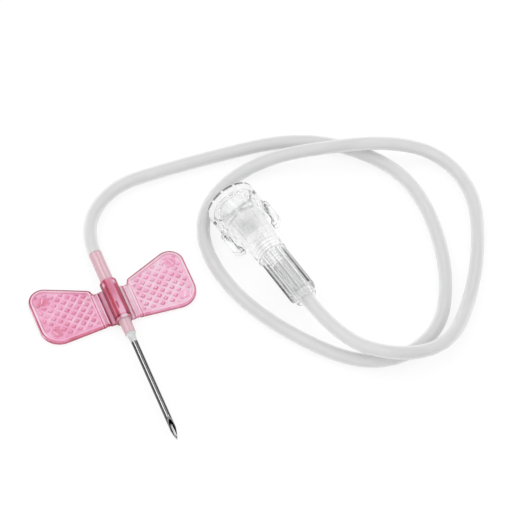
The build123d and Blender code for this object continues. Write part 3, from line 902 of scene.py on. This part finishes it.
def ear_grid(sizes, turn):
    """Finger ear: its outline carried across its thickness, drawn in a little at both faces.

    The tone is a line of painted shade along the faces' edges, darker where the outline bends.
    Its inner side has short dark stripes of painted shade.
    """
    outer = sizes.cap_od / 2
    inner = outer - sizes.cap_wall
    hook = sizes.ear_end - sizes.ear_hook
    tip = cone_radius(sizes, hook - sizes.mouth_at) + sizes.ear_gap
    corners = [
        (sizes.ear_start, outer - sizes.cap_wall / 2), (sizes.ear_start + sizes.ear_rise, sizes.ear_reach),
        (hook, sizes.ear_reach), (sizes.ear_end, tip + sizes.ear_hook), (sizes.ear_end, tip), (hook, tip),
        (hook - sizes.ear_hook, inner), (sizes.cap - 0.00025, inner)]
    rounds = [0.0001, sizes.ear_round, sizes.ear_round, 0.0006, 0.00035, 0.00035, 0.0006, 0.0001]
    outline = evenly(rounded(corners, rounds, steps=12), 160)
    ahead = np.roll(outline, -1, axis=0) - np.roll(outline, 1, axis=0)
    ahead /= np.linalg.norm(ahead, axis=1)[:, None]
    area = (outline[:, 0] * np.roll(outline[:, 1], -1) - np.roll(outline[:, 0], -1) * outline[:, 1]).sum()
    inwards = np.stack([-ahead[:, 1], ahead[:, 0]], axis=-1) * np.sign(area)
    soft = 0.00015
    bend = np.linspace(0.0, pi / 2, 5)
    half = sizes.ear_thickness / 2
    inset = [1.7 * soft, 1.3 * soft]
    across = np.concatenate([[-half, -half], -half + soft * (1 - np.sin(bend[::-1])),
                             half - soft * (1 - np.sin(bend)), [half, half]])
    drawn = np.concatenate([inset, soft * (1 - np.cos(bend[::-1])), soft * (1 - np.cos(bend)), inset[::-1]])
    flat = outline[None, :, :] + inwards[None, :, :] * drawn[:, None, None]
    above = np.repeat(across[:, None], len(outline), axis=1)
    grid = np.stack([flat[..., 0], flat[..., 1], above], axis=-1)
    turning = np.abs(np.roll(ahead, -1, axis=0) - np.roll(ahead, 1, axis=0)).sum(axis=1)
    # Painted shade along the faces' edges, darker where the outline bends.
    edge = line(drawn, soft, 0.5 * soft)[:, None]
    tone = CLEAR_TONE * (1.0 - edge) + (0.25 + 0.45 * ease(0.02, 0.12, turning)) * edge
    within = 1.0 - ease(inner, inner + 0.0003, outline[:, 1])
    within = within * ease(sizes.cap, sizes.cap + 0.0004, outline[:, 0])
    # Painted shade as short dark stripes on the inner side.
    stripe_spacing = 0.0011
    stripes = 0.5 + 0.5 * np.cos(2 * pi * outline[:, 0] / stripe_spacing)
    marks = {"tone": tone, "seen": np.ones_like(tone), "dash": 1.4 * within * stripes * edge}
    return on_connector(grid, sizes, sizes.ear_turn + turn), marks


def tube_end_grid(tube, sizes):
    """End of the tube inside the connector, turned."""
    end = sizes.mouth_at + connector_reach(sizes)
    start = end - sizes.insertion + 2 * SLIP
    outer = tube.od / 2
    bore = tube.bore / 2
    profile = rounded([(start, bore), (start, outer), (end, outer), (end, bore)], [0.00005] * 4)
    return on_connector(turned(divided(profile, 0.0006), 64), sizes)


# Materials.

def feed(tree, socket, value):
    """Links a socket to another one, or gives it a plain value. A colour gets its alpha of 1."""
    if isinstance(value, bpy.types.NodeSocket):
        tree.links.new(value, socket)
    else:
        socket.default_value = (*value, 1.0) if socket.type == "RGBA" else value


def add_node(tree, kind, **values):
    """Node of a tree, with settings and with its inputs fed by name, _ for each space."""
    node = tree.nodes.new(f"ShaderNode{kind}")
    for name, value in values.items():
        if hasattr(node, name):
            setattr(node, name, value)
        else:
            feed(tree, node.inputs[name.replace("_", " ")], value)
    return node


def mixed(tree, factor, first, second):
    """Colour between two others, from sockets or plain colours."""
    node = add_node(tree, "Mix", data_type="RGBA")
    for number, value in ((0, factor), (6, first), (7, second)):
        feed(tree, node.inputs[number], value)
    return node.outputs[2]


def blended(tree, factor, first, second):
    """Shader between two others, by the value of a socket."""
    node = add_node(tree, "MixShader")
    for socket, value in zip(node.inputs, (factor, first, second)):
        feed(tree, socket, value)
    return node.outputs[0]


def computed(tree, operation, first, second=0.5, clamp=False):
    """Value of a Math node, from sockets or plain numbers."""
    node = add_node(tree, "Math", operation=operation, use_clamp=clamp)
    for socket, value in zip(node.inputs, (first, second)):
        feed(tree, socket, value)
    return node.outputs[0]


def plus(tree, base, value, factor, clamp=False):
    """Base with a value times a factor added."""
    return computed(tree, "ADD", base, computed(tree, "MULTIPLY", value, factor), clamp)


def ranged(tree, value, start, end, low=0.0, high=1.0, kind="LINEAR"):
    """Value from low to high, as another goes from start to end."""
    return add_node(tree, "MapRange", interpolation_type=kind, Value=value, From_Min=start,
                    From_Max=end, To_Min=low, To_Max=high).outputs["Result"]


def painted(tree, name):
    """Value that the mesh carries under this name."""
    return add_node(tree, "Attribute", attribute_name=name).outputs["Fac"]


def glancing(tree, blend):
    """0 where the surface faces the view, and 1 where it is seen edge on."""
    return add_node(tree, "LayerWeight", Blend=blend).outputs["Facing"]


def toned(tree, tone, stops):
    """Colour of a ramp through the given stops of place and colour."""
    ramp = add_node(tree, "ValToRGB")
    while len(ramp.color_ramp.elements) < len(stops):
        ramp.color_ramp.elements.new(0.5)
    for element, (position, value) in zip(ramp.color_ramp.elements, stops):
        element.position = position
        element.color = (*value, 1.0)
    tree.links.new(tone, ramp.inputs[0])
    return ramp.outputs[0]


def stretched(tree, scale):
    """Place on the object, scaled along its axes."""
    where = add_node(tree, "TexCoord").outputs["Object"]
    return add_node(tree, "Mapping", Vector=where, Scale=scale).outputs["Vector"]


def moulded_group():
    """Faint unevenness of a moulded or extruded skin, as a height, and cloudy depth as a mask."""
    if "moulded_skin" in bpy.data.node_groups:
        return bpy.data.node_groups["moulded_skin"]
    group = bpy.data.node_groups.new("moulded_skin", "ShaderNodeTree")
    for name, kind, way in (("Ripple Scale", "Float", "INPUT"), ("Cloud Scale", "Float", "INPUT"),
                            ("Stretch", "Vector", "INPUT"), ("Height", "Float", "OUTPUT"),
                            ("Cloud", "Float", "OUTPUT")):
        group.interface.new_socket(name, in_out=way, socket_type=f"NodeSocket{kind}")
    given = group.nodes.new("NodeGroupInput")
    result = group.nodes.new("NodeGroupOutput")
    where = stretched(group, given.outputs["Stretch"])
    noises = []
    for name, detail, roughness in (("Ripple Scale", 3.0, 0.5), ("Cloud Scale", 4.0, 0.6)):
        noise = add_node(group, "TexNoise", Vector=where, Scale=given.outputs[name], Detail=detail,
                         Roughness=roughness)
        noises.append(noise.outputs["Fac"])
    group.links.new(noises[0], result.inputs["Height"])
    group.links.new(ranged(group, noises[1], 0.35, 0.65), result.inputs["Cloud"])
    return group


def bumped(tree, shader, height, strength, distance):
    """Gives a shader a bump from a height."""
    bump = add_node(tree, "Bump", Strength=strength, Distance=distance, Height=height)
    tree.links.new(bump.outputs["Normal"], shader.inputs["Normal"])


def moulded_skin(tree, shader, ripple, cloud, stretch, strength):
    """Adds the moulded group to a material, as its bump, and returns the cloud mask."""
    group = add_node(tree, "Group", node_tree=moulded_group())
    for name, value in (("Ripple Scale", ripple), ("Cloud Scale", cloud), ("Stretch", stretch)):
        feed(tree, group.inputs[name], value)
    bumped(tree, shader, group.outputs["Height"], strength, 0.0001)
    return group.outputs["Cloud"]


def new_material(name, **finish):
    """Material with its Principled BSDF set by socket, named with _ for each space."""
    material = bpy.data.materials.new(name)
    material.use_nodes = True
    shader = material.node_tree.nodes["Principled BSDF"]
    for socket, value in finish.items():
        shader.inputs[socket.replace("_", " ")].default_value = value
    return material, material.node_tree, shader


def moulded_material(name, stops, skin, tone=False, glance=(0.5, 0.0), cloudy=1.0, less=0.0, **finish):
    """Moulded or extruded material, its colour a ramp through the stops.

    The place on the ramp is the skin's cloud times its share, with the glancing view of the
    given blend and share added, and the tone attribute if asked for, less a constant.
    """
    material, tree, shader = new_material(name, **finish)
    place = computed(tree, "MULTIPLY", moulded_skin(tree, shader, *skin), cloudy)
    place = plus(tree, place, glancing(tree, glance[0]), glance[1])
    if tone:
        place = computed(tree, "ADD", place, painted(tree, "tone"))
    place = computed(tree, "SUBTRACT", place, less, clamp=True)
    tree.links.new(toned(tree, place, stops), shader.inputs["Base Color"])
    return material


def pink_material(name, finishes, glance_share, cloudy, stretch, **finish):
    """Pink moulding: deeper where the tone attribute or the glancing view says so."""
    stops = ((0.0, finishes.pale_pink), (PLAIN_TONE, finishes.pink), (0.7, finishes.deep_pink),
             (1.0, finishes.dark_pink))
    return moulded_material(
        name, stops, (1400.0, 420.0, stretch, 0.3), tone=True, glance=(0.35, glance_share), cloudy=cloudy,
        less=glance_share * 0.35 + cloudy * 0.5, IOR=1.45, **finish)


def tail_material(finishes):
    """Tinted hub tube with streaks along it, from the tone attribute."""
    stops = ((0.0, finishes.tube_pink), (1.0, finishes.tube_pink_deep))
    return moulded_material(
        "pink_hub_tube", stops, (1600.0, 700.0, (1.0, 0.05, 1.0), 0.2), tone=True, glance=(0.4, 0.4),
        cloudy=0.1, Roughness=0.12, IOR=1.4, Transmission_Weight=0.28, Coat_Weight=0.5)


def vinyl_material(finishes):
    """Soft clear tube, slightly frosted: greyest a little inside its edge, as painted shade, and paler at
    the edge itself, as a painted highlight.
    """
    # Painted shade a little inside the edge, painted highlight at the edge itself.
    stops = ((0.0, finishes.vinyl), (0.15, finishes.vinyl_deep), (0.36, finishes.vinyl_edge))
    return moulded_material(
        "clear_soft_tube", stops, (1500.0, 120.0, (1.0, 1.0, 1.0), 0.12), glance=(0.25, 1.0),
        cloudy=0.05, Roughness=0.3, IOR=1.4, Transmission_Weight=0.35)


def inner_tube_material(finishes):
    """End of the tube inside the connector, which looks clearer there."""
    stops = ((0.0, finishes.clear), (1.0, finishes.vinyl))
    return moulded_material(
        "clear_tube_end", stops, (1500.0, 300.0, (1.0, 1.0, 1.0), 0.1), cloudy=0.25,
        Roughness=0.15, IOR=1.15, Transmission_Weight=0.75)


def glue_material(finishes):
    """Milky adhesive, clouded."""
    stops = ((0.0, finishes.glue), (1.0, [0.75 * value for value in finishes.glue]))
    return moulded_material(
        "milky_adhesive", stops, (2500.0, 900.0, (1.0, 1.0, 1.0), 0.3),
        Roughness=0.2, IOR=1.45, Transmission_Weight=0.4)


def clear_material(name, finishes, bending, edge):
    """Clear plastic, which bends light by the given IOR and greys edge on by the given share.

    The grey edge on is painted shade. The tone attribute, with its painted lines, and a cloud
    darken what faces the view, the dash attribute paints shade from every side, and the seen
    attribute is the alpha.
    """
    material, tree, shader = new_material(
        name, Roughness=0.04, IOR=bending, Transmission_Weight=0.92, Coat_Weight=0.6, Coat_Roughness=0.03)
    cloud = moulded_skin(tree, shader, 1300.0, 500.0, (1.0, 0.4, 1.0), 0.15)
    glance = glancing(tree, 0.3)
    # Painted shade: grey where the plastic is seen edge on.
    deep = computed(tree, "MULTIPLY", computed(tree, "POWER", glance, 2.5), edge)
    drawn = plus(tree, painted(tree, "tone"), computed(tree, "SUBTRACT", cloud, 0.5), 0.34)
    facing = computed(tree, "POWER", computed(tree, "SUBTRACT", 1.0, glance), 2.0)
    deep = computed(tree, "ADD", deep, computed(tree, "MULTIPLY", drawn, facing))
    # The dash attribute adds painted shade from every side.
    deep = computed(tree, "ADD", deep, painted(tree, "dash"), clamp=True)
    stops = ((0.0, WHITE), (CLEAR_TONE, finishes.clear), (1.0, finishes.clear_edge))
    tree.links.new(toned(tree, deep, stops), shader.inputs["Base Color"])
    tree.links.new(painted(tree, "seen"), shader.inputs["Alpha"])
    return material


def steel_material(finishes):
    """Drawn steel: fine lines along the needle change its roughness and bump."""
    material, tree, shader = new_material("drawn_steel", Metallic=1.0)
    where = stretched(tree, (1.0, 0.012, 1.0))
    lines = add_node(tree, "TexNoise", Vector=where, Scale=9000.0, Detail=4.0, Roughness=0.7).outputs["Fac"]
    tree.links.new(ranged(tree, lines, 0.0, 1.0, 0.05, 0.2), shader.inputs["Roughness"])
    bumped(tree, shader, lines, 0.15, 0.00002)
    # Painted reflection: the steel darkens to its edge colour where seen edge on, as if it mirrored a dark
    # surround.
    edge = ranged(tree, glancing(tree, 0.5), 0.09, 0.26, kind="SMOOTHSTEP")
    worn = mixed(tree, lines, finishes.steel, [0.8 * value for value in finishes.steel])
    tree.links.new(mixed(tree, edge, worn, finishes.steel_edge), shader.inputs["Base Color"])
    return material


def floor_material(settings):
    """White floor: a glow for the camera, glossy and clear rays, over a matt white."""
    material = bpy.data.materials.new("white_table")
    material.use_nodes = True
    tree = material.node_tree
    tree.nodes.clear()
    rays = add_node(tree, "LightPath").outputs
    seen = computed(tree, "MAXIMUM", rays["Is Camera Ray"], rays["Is Glossy Ray"])
    seen = computed(tree, "MAXIMUM", seen, rays["Is Transmission Ray"])
    glow = computed(tree, "MULTIPLY", seen, settings.floor_glow)
    matt = add_node(tree, "BsdfDiffuse", Color=(0.92, 0.92, 0.92)).outputs[0]
    light = add_node(tree, "Emission", Color=WHITE, Strength=1.02).outputs[0]
    add_node(tree, "OutputMaterial", Surface=blended(tree, glow, matt, light))
    return material


def studio_world(settings):
    """Even white all round, but a studio of pale walls and a dark ceiling in reflections."""
    world = bpy.data.worlds.new("soft_studio")
    world.use_nodes = True
    tree = world.node_tree
    tree.nodes.clear()
    rays = add_node(tree, "LightPath").outputs
    where = add_node(tree, "TexCoord").outputs["Generated"]
    height = add_node(tree, "SeparateXYZ", Vector=where).outputs["Z"]
    studio = toned(tree, height, [(place, (grey, grey, grey)) for place, grey in STUDIO_GREYS])
    plain, room, white = (
        add_node(tree, "Background", Color=value, Strength=strength).outputs[0]
        for value, strength in ((WHITE, settings.world), (studio, 1.0), (WHITE, 1.0)))
    seen = computed(tree, "MAXIMUM", rays["Is Camera Ray"], rays["Is Transmission Ray"])
    lit = blended(tree, rays["Is Glossy Ray"], plain, room)
    add_node(tree, "OutputWorld", Surface=blended(tree, seen, lit, white))
    return world


def soft_lamp(name, direction, distance, size, brightness):
    """Square or oblong softbox that faces the set. Brightness is that of its surface."""
    lamp = bpy.data.lights.new(name, "AREA")
    lamp.shape = "RECTANGLE"
    lamp.size, lamp.size_y = size
    lamp.energy = brightness * pi * size[0] * size[1]
    piece = bpy.data.objects.new(name, lamp)
    towards = Vector(direction).normalized()
    piece.location = Vector(LAMP_TARGET) + towards * distance
    piece.rotation_euler = towards.to_track_quat("Z", "Y").to_euler()
    bpy.context.scene.collection.objects.link(piece)


def settings_of(context):
    """Sizes, finishes and stage settings of the scene."""
    return context.scene.butterfly_needle


def finish_piece(piece, body, slot, *nodes):
    """Rides on its body and stands for its nodes; its slot is not used."""
    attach(piece, body)
    if nodes:
        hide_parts(*nodes)


def add_piece(name, shape, material, body, slot, *nodes, **how):
    """Piece from a grid, or from a grid with its marks, on its body; its slot is not used."""
    grid, marks = shape if isinstance(shape, tuple) else (shape, None)
    piece = skin(name, grid, material, marks=marks, **how)
    finish_piece(piece, body, slot, *nodes)
    return piece


class BUTTERFLY_OT_stage(Operator):
    """White table, soft lamps and the camera at the photograph's viewing angle"""

    bl_idname = "butterfly.stage"
    bl_label = "Stage"

    def execute(self, context):
        stage = settings_of(context).stage
        half = stage.floor_size / 2
        mesh = bpy.data.meshes.new("table_top")
        corners = [(-half, -half), (half, -half), (half, half), (-half, half)]
        mesh.from_pydata([(x, y, -stage.floor_drop) for x, y in corners], [], [(0, 1, 2, 3)])
        mesh.materials.append(floor_material(stage))
        floor = bpy.data.objects.new("table_top", mesh)
        context.scene.collection.objects.link(floor)
        context.scene.world = studio_world(stage)
        for lamp in LAMPS:
            soft_lamp(*lamp)
        target = Vector(stage.target)
        level = cos(stage.elevation)
        towards = Vector((-sin(stage.azimuth) * level, cos(stage.azimuth) * level, -sin(stage.elevation)))
        lens = bpy.data.cameras.new("photo_camera")
        lens.sensor_width = stage.sensor
        lens.lens = stage.focal
        lens.clip_start = 0.01
        camera = bpy.data.objects.new("photo_camera", lens)
        camera.location = target - towards * stage.distance
        camera.rotation_euler = towards.to_track_quat("-Z", "Y").to_euler()
        context.scene.collection.objects.link(camera)
        context.scene.camera = camera
        context.scene.view_settings.view_transform = "Standard"
        return {"FINISHED"}


class BUTTERFLY_OT_needle(Operator):
    """Steel needle with its bevel, the pink hub tube and the adhesive between them"""

    bl_idname = "butterfly.needle"
    bl_label = "Needle and hub tube"

    def execute(self, context):
        settings = settings_of(context)
        sizes = settings.needle
        finishes = settings.finishes
        add_piece("needle_shaft", needle_grid(sizes), steel_material(finishes),
                  "needle_set", "needle_steel", "needle_cannula", crease=25)
        add_piece("hub_tube_skin", hub_grid(sizes, settings.wings.sleeve), tail_material(finishes),
                  "needle_set", "pink_tube", "hub_tube")
        add_piece("adhesive_cone", glue_grid(sizes), glue_material(finishes),
                  "needle_set", "adhesive", "needle_adhesive")
        return {"FINISHED"}


class BUTTERFLY_OT_wings(Operator):
    """Moulded sleeve and its two studded wings"""

    bl_idname = "butterfly.wings"
    bl_label = "Sleeve and wings"

    def execute(self, context):
        settings = settings_of(context)
        thick = pink_material("pink_sleeve_moulding", settings.finishes, 0.2, 0.12, (1.0, 0.3, 1.0),
                              Roughness=0.1, Transmission_Weight=0.4)
        add_piece("sleeve_moulding", sleeve_grid(settings.needle, settings.wings), thick,
                  "needle_set", "pink_moulding", "wing_sleeve", crease=30)
        pink = pink_material("pink_wing_moulding", settings.finishes, 0.25, 0.2, (1.0, 1.0, 1.0),
                             Roughness=0.16, Transmission_Weight=0.5)
        for name, side in (("right_wing", 1), ("left_wing", -1)):
            add_piece(f"{name}_moulding", wing_grid(settings.needle, settings.wings, side), pink,
                      name, "pink_moulding", name, looped=False, crease=50)
        return {"FINISHED"}


class BUTTERFLY_OT_connector(Operator):
    """Clear fluted connector with its screw cap and the cap's two ears"""

    bl_idname = "butterfly.connector"
    bl_label = "Connector and cap"

    def execute(self, context):
        settings = settings_of(context)
        sizes = settings.connector
        body = clear_material("clear_connector_plastic", settings.finishes, 1.12, 0.12)
        add_piece("connector_moulding", connector_grid(sizes), body,
                  "needle_set", "clear_plastic", "luer_connector", crease=50)
        clear = clear_material("clear_cap_plastic", settings.finishes, 1.06, 0.8)
        add_piece("cap_moulding", cap_grid(sizes), clear, "cap", "clear_plastic", "luer_cap",
                  looped=False, crease=50)
        for number, turn in enumerate((0.0, pi)):
            add_piece(f"cap_ear_{number + 1}", ear_grid(sizes, turn), clear, "cap", "clear_plastic",
                      looped=False)
        return {"FINISHED"}


class BUTTERFLY_OT_tubing(Operator):
    """Soft clear tube along its route, with its end inside the connector"""

    bl_idname = "butterfly.tubing"
    bl_label = "Tubing"

    def execute(self, context):
        settings = settings_of(context)
        sizes = settings.connector
        ahead = Vector((cos(sizes.heading), sin(sizes.heading), 0.0))
        nose = Vector(sizes.end) + ahead * (sizes.mouth_at + connector_reach(sizes))
        route = [Vector(point) for point in TUBE_ROUTE] + [nose + ahead * TUBE_STRAIGHT, nose]
        curve = bpy.data.curves.new("clear_tubing", "CURVE")
        curve.dimensions = "3D"
        curve.bevel_depth = settings.tube.od / 2
        curve.bevel_resolution = 8
        curve.resolution_u = 14
        curve.use_fill_caps = True
        spline = curve.splines.new("NURBS")
        spline.points.add(len(route) - 1)
        spline.points.foreach_set("co", np.array([(*point, 1.0) for point in route]).ravel())
        spline.order_u = 3
        spline.use_endpoint_u = True
        curve.materials.append(vinyl_material(settings.finishes))
        tubing = bpy.data.objects.new("clear_tubing", curve)
        context.scene.collection.objects.link(tubing)
        finish_piece(tubing, "needle_set", "clear_tube", "tubing")
        end = add_piece("tubing_inner_end", tube_end_grid(settings.tube, sizes),
                        inner_tube_material(settings.finishes), "needle_set", "clear_tube")
        return {"FINISHED"}


class BUTTERFLY_PT_panel(Panel):
    """Lists the pieces of the butterfly needle and their sizes"""

    bl_idname = "BUTTERFLY_PT_panel"
    bl_label = "Butterfly Needle"
    bl_space_type = "VIEW_3D"
    bl_region_type = "UI"
    bl_category = "Butterfly Needle"

    def draw(self, context):
        settings = settings_of(context)
        for operator in OPERATORS:
            self.layout.operator(operator.bl_idname)
        for group in (settings.needle, settings.wings, settings.connector, settings.tube,
                      settings.finishes, settings.stage):
            box = self.layout.box()
            for name in group.__annotations__:
                box.prop(group, name)


GROUPS = (NeedleSizes, WingSizes, ConnectorSizes, TubeSizes, Finishes, StageSettings, ButterflySettings)
OPERATORS = (BUTTERFLY_OT_stage, BUTTERFLY_OT_needle, BUTTERFLY_OT_wings, BUTTERFLY_OT_connector,
             BUTTERFLY_OT_tubing)


def register():
    """Registers the classes and the scene's settings."""
    for kind in (*GROUPS, *OPERATORS, BUTTERFLY_PT_panel):
        bpy.utils.register_class(kind)
    bpy.types.Scene.butterfly_needle = PointerProperty(type=ButterflySettings)


def unregister():
    """Removes the settings and the classes, last first."""
    del bpy.types.Scene.butterfly_needle
    for kind in reversed((*GROUPS, *OPERATORS, BUTTERFLY_PT_panel)):
        bpy.utils.unregister_class(kind)


def main():
    """Builds every piece in order."""
    register()
    bpy.ops.butterfly.stage()
    bpy.ops.butterfly.needle()
    bpy.ops.butterfly.wings()
    bpy.ops.butterfly.connector()
    bpy.ops.butterfly.tubing()


if __name__ == "__main__":
    main()
